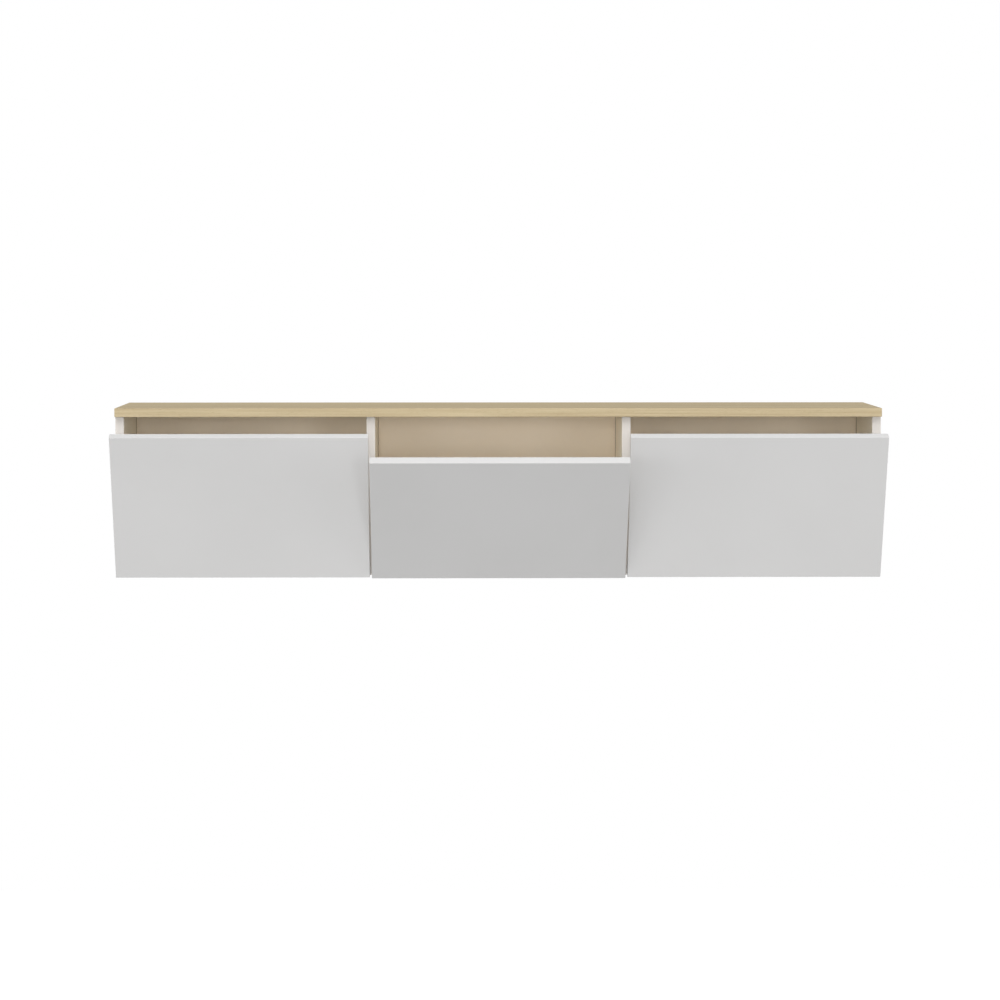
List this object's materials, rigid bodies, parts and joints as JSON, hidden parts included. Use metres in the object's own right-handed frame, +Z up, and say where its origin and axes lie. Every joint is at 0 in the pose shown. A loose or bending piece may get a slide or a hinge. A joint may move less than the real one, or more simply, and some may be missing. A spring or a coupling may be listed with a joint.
{
  "type": "floating media console",
  "caption": "Wall-hung media console with an oak-decor top, a white carcass of bays, and handle-less drop-down flaps on hinges, stays and push latches.",
  "frame": {"origin": "middle of the wall rail's rear face, on the wall", "axes": "+Y into the wall, +Z up, +X to the right seen from the front; the flaps face -Y"},
  "size_m": [1.6, 0.5439, 0.3558],
  "materials": {
    "oak_decor": "satin oak decor, fine grain along the length",
    "white_board": "satin white melamine-faced board",
    "back_board": "satin white fibreboard",
    "white_front": "matt white lacquer",
    "white_plastic": "fine textured white plastic",
    "steel": "bright zinc-plated steel",
    "zinc": "matt nickel-plated die-cast zinc"
  },
  "bodies": {
    "carcass": {"top_panel": "oak_decor", "left_side_panel": "white_board", "right_side_panel": "white_board", "left_divider": "white_board", "right_divider": "white_board", "bottom_panel": "white_board", "back_panel": "back_board", "left_flap_left_hinge_base_leaf": "steel", "left_flap_left_hinge_pin": "steel", "left_flap_right_hinge_base_leaf": "steel", "left_flap_right_hinge_pin": "steel", "left_stay_mount": "zinc", "left_latch_housing": "white_plastic", "left_cable_grommet": "white_plastic", "middle_flap_left_hinge_base_leaf": "steel", "middle_flap_left_hinge_pin": "steel", "middle_flap_right_hinge_base_leaf": "steel", "middle_flap_right_hinge_pin": "steel", "middle_stay_mount": "zinc", "middle_latch_housing": "white_plastic", "middle_cable_grommet": "white_plastic", "right_flap_left_hinge_base_leaf": "steel", "right_flap_left_hinge_pin": "steel", "right_flap_right_hinge_base_leaf": "steel", "right_flap_right_hinge_pin": "steel", "right_stay_mount": "zinc", "right_latch_housing": "white_plastic", "right_cable_grommet": "white_plastic", "wall_rail": "steel", "left_hanger_body": "steel", "left_hanger_hook": "zinc", "left_hanger_screw": "steel", "right_hanger_body": "steel", "right_hanger_hook": "zinc", "right_hanger_screw": "steel"},
    "left_front": {"left_flap": "white_front", "left_flap_left_hinge_flap_leaf": "steel", "left_flap_right_hinge_flap_leaf": "steel", "left_stay_bracket": "zinc", "left_latch_strike": "steel"},
    "left_stay_swivel": {"left_stay_block": "white_plastic"},
    "left_stay_slider": {"left_stay_rod": "steel"},
    "left_latch_button": {"left_latch_plunger": "white_plastic"},
    "middle_front": {"middle_flap": "white_front", "middle_flap_left_hinge_flap_leaf": "steel", "middle_flap_right_hinge_flap_leaf": "steel", "middle_stay_bracket": "zinc", "middle_latch_strike": "steel"},
    "middle_stay_swivel": {"middle_stay_block": "white_plastic"},
    "middle_stay_slider": {"middle_stay_rod": "steel"},
    "middle_latch_button": {"middle_latch_plunger": "white_plastic"},
    "right_front": {"right_flap": "white_front", "right_flap_left_hinge_flap_leaf": "steel", "right_flap_right_hinge_flap_leaf": "steel", "right_stay_bracket": "zinc", "right_latch_strike": "steel"},
    "right_stay_swivel": {"right_stay_block": "white_plastic"},
    "right_stay_slider": {"right_stay_rod": "steel"},
    "right_latch_button": {"right_latch_plunger": "white_plastic"}
  },
  "joints": [
    {"name": "left_flap_hinge", "type": "hinge", "parent": "carcass", "child": "left_front", "pos_m": [-0.534, -0.3275, -0.2653], "axis": [1, 0, 0], "range_deg": [-24.5, 65.5]},
    {"name": "left_stay_swivel_pivot", "type": "hinge", "parent": "carcass", "child": "left_stay_swivel", "pos_m": [-0.782, -0.2604, -0.16581], "axis": [1, 0, 0], "range_deg": [-12.25, 32.75]},
    {"name": "left_stay_rod_pivot", "type": "hinge", "parent": "left_front", "child": "left_stay_slider", "pos_m": [-0.782, -0.35292, -0.14802], "axis": [1, 0, 0], "range_deg": [-32.75, 12.25]},
    {"name": "left_latch_press", "type": "slide", "parent": "carcass", "child": "left_latch_button", "axis": [0, 1, 0], "range_m": [0, 0.003], "stiffness_N_per_m": 2000},
    {"name": "middle_flap_hinge", "type": "hinge", "parent": "carcass", "child": "middle_front", "pos_m": [0, -0.3275, -0.2653], "axis": [1, 0, 0], "range_deg": [-39.7, 50.3]},
    {"name": "middle_stay_swivel_pivot", "type": "hinge", "parent": "carcass", "child": "middle_stay_swivel", "pos_m": [-0.258, -0.2604, -0.16581], "axis": [1, 0, 0], "range_deg": [-19.85, 25.15]},
    {"name": "middle_stay_rod_pivot", "type": "hinge", "parent": "middle_front", "child": "middle_stay_slider", "pos_m": [-0.258, -0.38278, -0.15879], "axis": [1, 0, 0], "range_deg": [-25.15, 19.85]},
    {"name": "middle_latch_press", "type": "slide", "parent": "carcass", "child": "middle_latch_button", "axis": [0, 1, 0], "range_m": [0, 0.003], "stiffness_N_per_m": 2000},
    {"name": "right_flap_hinge", "type": "hinge", "parent": "carcass", "child": "right_front", "pos_m": [0.534, -0.3275, -0.2653], "axis": [1, 0, 0], "range_deg": [-24.5, 65.5]},
    {"name": "right_stay_swivel_pivot", "type": "hinge", "parent": "carcass", "child": "right_stay_swivel", "pos_m": [0.782, -0.2604, -0.16581], "axis": [1, 0, 0], "range_deg": [-12.25, 32.75]},
    {"name": "right_stay_rod_pivot", "type": "hinge", "parent": "right_front", "child": "right_stay_slider", "pos_m": [0.782, -0.35292, -0.14802], "axis": [1, 0, 0], "range_deg": [-32.75, 12.25]},
    {"name": "right_latch_press", "type": "slide", "parent": "carcass", "child": "right_latch_button", "axis": [0, 1, 0], "range_m": [0, 0.003], "stiffness_N_per_m": 2000}
  ],
  "couplings": [
    {"joint": "left_stay_swivel_pivot", "follows": "left_flap_hinge", "ratio": 0.5},
    {"joint": "left_stay_rod_pivot", "follows": "left_flap_hinge", "ratio": -0.5},
    {"joint": "middle_stay_swivel_pivot", "follows": "middle_flap_hinge", "ratio": 0.5},
    {"joint": "middle_stay_rod_pivot", "follows": "middle_flap_hinge", "ratio": -0.5},
    {"joint": "right_stay_swivel_pivot", "follows": "right_flap_hinge", "ratio": 0.5},
    {"joint": "right_stay_rod_pivot", "follows": "right_flap_hinge", "ratio": -0.5}
  ]
}
